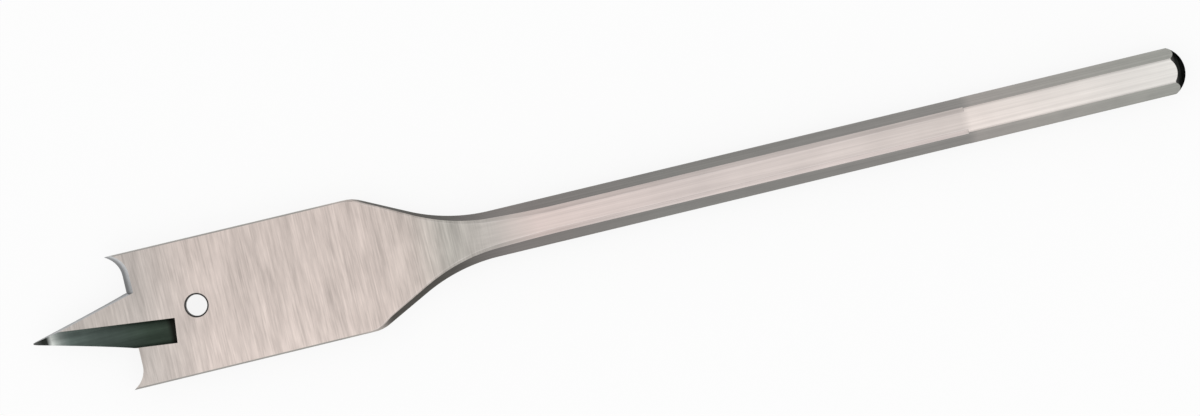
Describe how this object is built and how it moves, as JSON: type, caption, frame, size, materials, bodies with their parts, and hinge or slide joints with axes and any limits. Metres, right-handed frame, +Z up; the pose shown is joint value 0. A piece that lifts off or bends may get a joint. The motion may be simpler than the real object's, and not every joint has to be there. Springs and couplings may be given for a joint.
{
  "type": "spade drill bit",
  "caption": "Flat wood-boring bit: a forged blade with a ground centre point, cutting lips, spurs and a hanging hole, running into a hexagonal shank for a chuck.",
  "frame": {"origin": "on the surface the bit lies on, under the middle of its length and width", "axes": "+X along the bit's axis from the point to the end of the shank, +Y across the blade, +Z up out of the blade's face"},
  "size_m": [0.1825, 0.021, 0.0063],
  "materials": {
    "spade_bit": "ground bright on the faces, darker on the forged sides"
  },
  "bodies": {
    "root": {"spade_bit": "spade_bit"}
  },
  "joints": []
}
